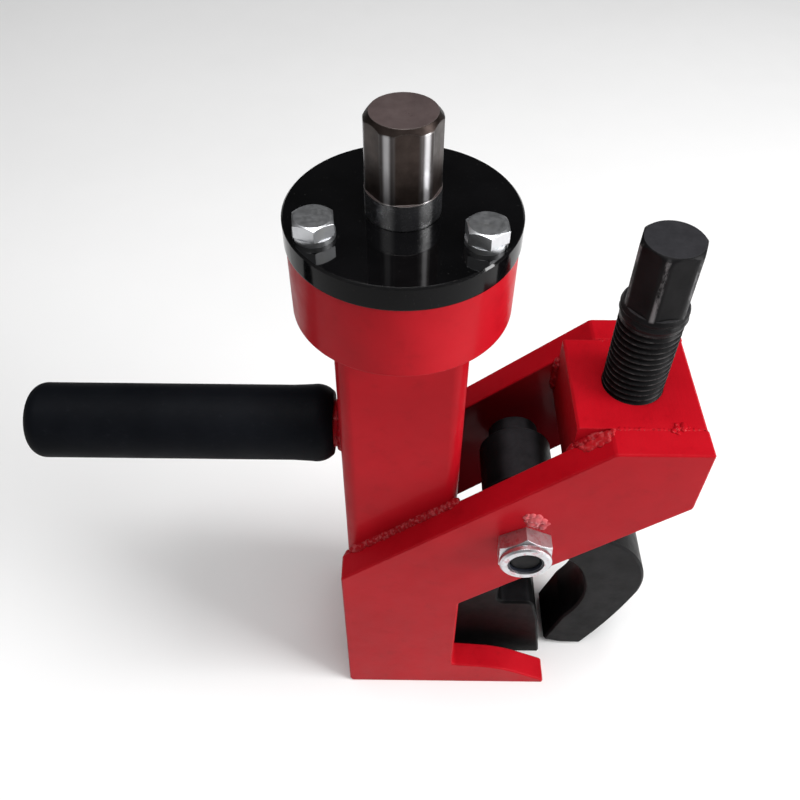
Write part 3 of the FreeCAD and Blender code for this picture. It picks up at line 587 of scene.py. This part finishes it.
def weld_bead(name, route, out, width, height, seed, loop=False, material=SHADED_WELD_RED):
    """A rippled run of weld metal. out gives the way it stands proud at each point."""
    samples, total = resample(route, WELD_STEP, loop)
    rings = []
    for index, (centre, along) in enumerate(samples):
        travel = total * index / len(samples)
        lift = out(centre).normalized()
        across = along.cross(lift).normalized()
        lift = across.cross(along).normalized()
        fade = 1.0
        if not loop:
            to_end = min(travel, total - travel)
            fade = min(1.0, 0.25 + math.sqrt(max(to_end, 0.0) / (1.6 * width)) * 0.75)
        swell = 1 + 0.26 * noise.noise(Vector((travel * 190, seed * 7.1, 0)))
        wander = 0.35 * MM * noise.noise(Vector((travel * 90, seed * 3.3, 5)))
        ring = []
        for angle in circle(WELD_SIDES):
            sway, rise = math.cos(angle), math.sin(angle)
            phase = (travel / WELD_RIPPLE + 0.55 * (1 - rise) + seed * 0.37) % 1.0
            crest = 0.17 * (1 - phase) ** 2
            grit = 0.22 * noise.noise(Vector((travel * 700, sway * 2.4, rise * 2.4 + seed)))
            scale = fade * (swell + crest + grit)
            aside = across * (sway * width * scale + wander)
            ring.append(centre + aside + lift * (rise * height * scale))
        rings.append(ring)
    points, faces = skin(rings, loop)
    return make_piece(name, points, faces, material, "frame")


def spatter(name, middle, along, across, out, count, seed, material, size=1.0):
    """Small lumps of weld metal over an oval patch; along and across are its half axes."""
    sides, levels = 12, 5
    sunk = 0.2 * MM
    east, north = along.normalized(), across.normalized()
    points, faces = [], []
    for lump in range(count):
        turn = lump * GOLDEN_TURN
        reach = math.sqrt((lump + 0.5) / count)
        jitter = [
            noise.noise(Vector((lump * 3.7, seed * 1.9, 0.5 + 7.3 * axis))) for axis in range(3)]
        centre = middle + along * (math.cos(turn) * reach + 0.25 * jitter[0])
        centre += across * (math.sin(turn) * reach + 0.25 * jitter[1])
        radius = size * (1.5 + 0.9 * jitter[2]) * MM * (1.25 - 0.5 * reach)
        height = 0.62 * radius
        first = len(points)
        for level in range(levels):
            lift = level / levels * math.pi / 2
            for angle in circle(sides):
                place = (math.cos(angle) * 2 + lump, math.sin(angle) * 2, lift + seed)
                rough = 1 + 0.22 * noise.noise(Vector(place))
                spoke = east * math.cos(angle) + north * math.sin(angle)
                rise = height * math.sin(lift) * rough - sunk
                points.append(centre + spoke * (radius * math.cos(lift) * rough) + out * rise)
        for level in range(levels - 1):
            row = first + level * sides
            for side in range(sides):
                here, after = row + side, row + (side + 1) % sides
                faces.append((here, after, after + sides, here + sides))
        faces.append(tuple(first + (levels - 1) * sides + side for side in range(sides)))
        faces.append(tuple(first + side for side in reversed(range(sides))))
    return make_piece(name, points, faces, material, "frame")


def build_plate_welds():
    """Beads that join each side plate to the column and the head block."""
    left, right = COLUMN.low.x + 1.5 * MM, COLUMN.high.x + 0.5 * MM
    column_x = COLUMN.low.x + 0.4 * MM
    corner_low = slope_height(BLOCK.low.x) + 1 * MM
    flush = BLOCK.high.z - 1.45 * MM
    for side, label in ((-1, "front"), (1, "rear")):
        seam = side * SEAM_Y
        column_y = seam - side * 1.0 * MM
        block_y = seam - side * 0.6 * MM
        # name, start, end, way out, width, height, seed, material
        runs = (
            ("slope", (left, seam, slope_height(left)), (right, seam, slope_height(right)),
             (-SLOPE, side * 1.1, 1), 3.1, 2.4, 3, SHADED_WELD_RED),
            ("column", (column_x, column_y, 3 * MM),
             (column_x, column_y, slope_height(left) - 2 * MM),
             (-1, -side * 0.8, 0), 2.8, 2.6, 8, SHADED_WELD_RED),
            ("block_corner", (BLOCK.low.x + 0.5 * MM, seam, corner_low),
             (ARM_BEND.x - 3 * MM, seam, ARM_BEND.z - 3 * MM),
             (-0.6, side * 1.0, 0.8), 2.9, 2.6, 13, SHADED_WELD_RED),
            ("block_face", (BLOCK.low.x, block_y, BLOCK.low.z + 3 * MM),
             (BLOCK.low.x, block_y, corner_low),
             (-1, -side * 0.8, 0), 2.4, 2.2, 21, SHADED_WELD_RED),
            # the run on top was ground flush
            ("block_top", (ARM_BEND.x + 1 * MM, seam, flush),
             (BLOCK.high.x - 2 * MM, seam, flush),
             (0, 0, 1), 1.7, 1.5, 30, RED),
        )
        for name, start, end, out, width, height, seed, material in runs:
            weld_bead(
                f"weld_{name}_{label}", [Vector(start), Vector(end)],
                lambda point, out=out: Vector(out), width * MM, height * MM, seed + side,
                material=material,
            )


def build_spatter():
    """Lumps beside the pivot nut, and where the head block was filled and ground."""
    spatter(
        "spatter_nut",
        Vector((NUT.centre.x + 4 * MM, FRONT_PLATE.low.y, NUT.centre.z + 21 * MM)),
        Vector((6.0, 0, -4.8)) * MM, Vector((2.8, 0, 3.6)) * MM, Vector((0, -1, 0)),
        32, 53, HIGHLIT_SPATTER_RED, size=1.2,
    )
    bend = ARM_BEND.x - 6 * MM
    uphill = Vector((1, 0, SLOPE)).normalized()
    spatter(
        "spatter_bend",
        Vector((bend, -SEAM_Y - 2.8 * MM, slope_height(bend))),
        uphill * 9.5 * MM, Vector((0, 3.6, 0)) * MM, Vector((-SLOPE, 0, 1)).normalized(),
        34, 57, HIGHLIT_FILLED_RED, size=1.35,
    )
    spatter(
        "spatter_top",
        Vector((ARM_BEND.x + 33 * MM, 1 * MM - SEAM_Y, BLOCK.high.z)),
        Vector((5, 2, 0)) * MM, Vector((-1, 2.5, 0)) * MM, Vector((0, 0, 1)),
        8, 61, RED,
    )


def build_round_welds():
    """A ring round the handle rod, and a run under the bearing housing."""
    hub = Vector((COLUMN.low.x, 0, ROD.centre.z))
    radius = ROD.size.y / 2
    ring = [
        hub + Vector((-0.4 * MM, math.cos(turn) * radius, math.sin(turn) * radius))
        for turn in circle(40)
    ]
    weld_bead(
        "weld_handle", ring,
        lambda point: (point - hub).normalized() + Vector((-1, 0, 0)),
        2.6 * MM, 2.4 * MM, seed=41, loop=True,
    )

    # round the column's rounded square
    far = COLUMN.high.x * 1.5
    flat = COLUMN.high.x - COLUMN_ROUND
    drop = Vector((0, 0, HOUSING.low.z - 0.4 * MM))
    under = []
    for turn in circle(96):
        reach = Vector((math.cos(turn), math.sin(turn), 0)) * far
        core = Vector((max(-flat, min(flat, reach.x)), max(-flat, min(flat, reach.y)), 0))
        under.append(core + (reach - core).normalized() * COLUMN_ROUND + drop)
    weld_bead(
        "weld_housing", under,
        lambda point: Vector((point.x, point.y, 0)).normalized() + Vector((0, 0, -1)),
        2.5 * MM, 2.3 * MM, seed=47, loop=True,
    )


def clamped(value):
    return min(1.0, max(0.0, value))


def thread_radius(angle, z):
    """The clamp screw's cut thread, which fades out into the flare and down to its lower end."""
    phase = (z / THREAD_PITCH - angle / (2 * math.pi)) % 1.0
    tooth = clamped((abs(phase - 0.5) * 2 - 0.10) / 0.78)
    start = clamped((FLARE_BOTTOM - 2.5 * MM - z) / (3 * MM))
    finish = clamped((z - THREAD_END) / (2 * MM))
    depth = (THREAD_CREST - THREAD_ROOT) * tooth * start
    return THREAD_CREST - depth - (1 - finish) * 1.4 * MM


def build_clamp_screw():
    """The clamp screw with its cut thread, which the CAD node holds as a plain cylinder."""
    middle = Vector((CLAMP.centre.x, CLAMP.centre.y, 0))
    top, bottom = CLAMP.high.z, CLAMP.low.z
    hex_turn, sixth = math.radians(CLAMP_TURN), math.radians(60)
    half_flat = math.acos(CLAMP_FLAT / CLAMP_CORNER)
    angles = []
    for flat in range(6):
        facing = hex_turn + sixth / 2 + sixth * flat
        angles += [facing + half_flat * step / 5 for step in range(-5, 6)]
        angles += [facing + half_flat + (sixth - 2 * half_flat) * step / 3 for step in (1, 2)]

    def hexagonal(angle):
        turn = (angle - hex_turn) % sixth - sixth / 2
        return min(CLAMP_CORNER, CLAMP_FLAT / math.cos(turn))

    rings = []

    def add_ring(z, radius_at):
        """Adds a ring whose radius is a number or depends on the angle."""
        ring = []
        for angle in angles:
            radius = radius_at(angle) if callable(radius_at) else radius_at
            ring.append(middle + Vector((math.cos(angle) * radius, math.sin(angle) * radius, z)))
        rings.append(ring)

    # the ball tip and the thread's lower end
    add_ring(bottom, TIP_RADIUS - 1 * MM)
    add_ring(bottom + 1 * MM, TIP_RADIUS)
    add_ring(THREAD_END - 0.2 * MM, TIP_RADIUS)
    add_ring(THREAD_END, TIP_RADIUS + 0.2 * MM)
    add_ring(THREAD_END, THREAD_CREST - 2.6 * MM)
    length = FLARE_BOTTOM - 1.7 * MM - THREAD_END
    steps = round(length / (THREAD_PITCH / 12))
    for step in range(steps + 1):
        z = THREAD_END + length * step / steps
        add_ring(z, lambda angle, z=z: thread_radius(angle, z))

    # the flare, lumpy where the thread's first turn was rolled up: height above its foot, radius
    flare = ((-0.8, 15.3), (0, 15.7), (1.2, 15.7), (2.2, 15.0), (3.0, 15.2), (3.8, 15.7),
             (4.5, 15.5))
    for rise, reach in flare:
        z, radius = FLARE_BOTTOM + rise * MM, reach * MM
        add_ring(z, lambda angle, z=z, radius=radius: radius + 0.45 * MM * noise.noise(
            Vector((math.cos(angle) * 2.2, math.sin(angle) * 2.2, z * 700))))

    # the hexagon, with a turned dome above its flats
    add_ring(CLAMP_FLATS_END - 0.6 * MM, CLAMP_CORNER + 0.3 * MM)
    add_ring(CLAMP_FLATS_END, CLAMP_CORNER)
    add_ring(CLAMP_FLATS_END, hexagonal)
    for step in range(1, 12):
        add_ring(CLAMP_FLATS_END + (top - 2.4 * MM - CLAMP_FLATS_END) * step / 12, hexagonal)
    for drop, reach in ((1.6, 14.7), (1.2, 14.35), (0.6, 13.75), (0.15, 13.25), (0.0, 13.0)):
        add_ring(top - drop * MM, lambda angle, reach=reach: min(hexagonal(angle), reach * MM))
    add_ring(top, 9 * MM)
    add_ring(top - 0.1 * MM, 3 * MM)

    points, faces = skin(rings)
    piece = make_piece("clamp_screw_cut", points, faces, CLAMP_BLACK, "clamp")
    piece.data.set_sharp_from_angle(angle=math.radians(28))
    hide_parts("clamp_screw")


build_plate_welds()
build_spatter()
build_round_welds()
build_clamp_screw()


# ---- stage, light and camera ----------------------------------------------------------

def floor():
    """A plain pale floor just under the tool."""
    f = Finish("pale_floor")
    f.set(
        Base_Color=f.ramp(f.noise(2.5, 3), (0.3, (0.88, 0.88, 0.88)), (0.7, (0.91, 0.91, 0.91))),
        Roughness=f.ramp(f.noise(30, 3), (0.3, 0.72), (0.7, 0.85)),
    )
    half = 6.0
    corners = [(-half, -half, 0), (half, -half, 0), (half, half, 0), (-half, half, 0)]
    mesh = bpy.data.meshes.new("floor")
    mesh.from_pydata(corners, [], [(0, 1, 2, 3)])
    mesh.materials.append(f.material)
    plane = bpy.data.objects.new("floor", mesh)
    bpy.context.scene.collection.objects.link(plane)
    plane.location.z = min(cad_low.z, 0) - 0.05 * MM


def softbox(name, place, target, side, power):
    """A square area light."""
    data = bpy.data.lights.new(name, "AREA")
    data.shape = "RECTANGLE"
    data.size, data.size_y = side, side
    data.energy = power
    lamp = bpy.data.objects.new(name, data)
    lamp.location = place
    lamp.rotation_euler = (Vector(target) - Vector(place)).to_track_quat("-Z", "Y").to_euler()
    bpy.context.scene.collection.objects.link(lamp)


def studio():
    """A soft surround, bright in front and dark behind the tool, with a key and a top light."""
    world = bpy.data.worlds.new("studio")
    world.use_nodes = True
    nodes, links = world.node_tree.nodes, world.node_tree.links
    background = nodes["Background"]
    background.inputs["Color"].default_value = (1, 1, 1, 1)
    direction = nodes.new("ShaderNodeSeparateXYZ")
    links.new(nodes.new("ShaderNodeTexCoord").outputs["Generated"], direction.inputs[0])
    falloff = nodes.new("ShaderNodeMapRange")
    falloff.interpolation_type = "SMOOTHSTEP"
    falloff.inputs["From Min"].default_value = -0.35
    falloff.inputs["From Max"].default_value = 0.55
    falloff.inputs["To Min"].default_value = 0.26
    falloff.inputs["To Max"].default_value = 0.03
    links.new(direction.outputs["Y"], falloff.inputs["Value"])
    links.new(falloff.outputs[0], background.inputs["Strength"])
    bpy.context.scene.world = world
    middle = (cad_low + cad_high) / 2
    softbox("key", (1.25, -0.40, 0.75), middle, 0.7, 23)
    softbox("top", (0.0, -0.1, 2.3), middle, 1.3, 40)


def camera():
    """The photo's camera, as fitted to the tool's straight, square and round edges."""
    down, roll, heading = 48.11, -0.17, 0.67
    data = bpy.data.cameras.new("camera")
    data.lens = 38.36
    data.sensor_width = 36
    eye = bpy.data.objects.new("camera", data)
    eye.location = (0.00155, -0.28886, 0.55377)
    eye.rotation_mode = "XYZ"
    eye.rotation_euler = (math.radians(90 - down), math.radians(roll), math.radians(heading))
    bpy.context.scene.collection.objects.link(eye)
    bpy.context.scene.camera = eye


floor()
studio()
camera()
bpy.context.scene.view_settings.view_transform = "Standard"
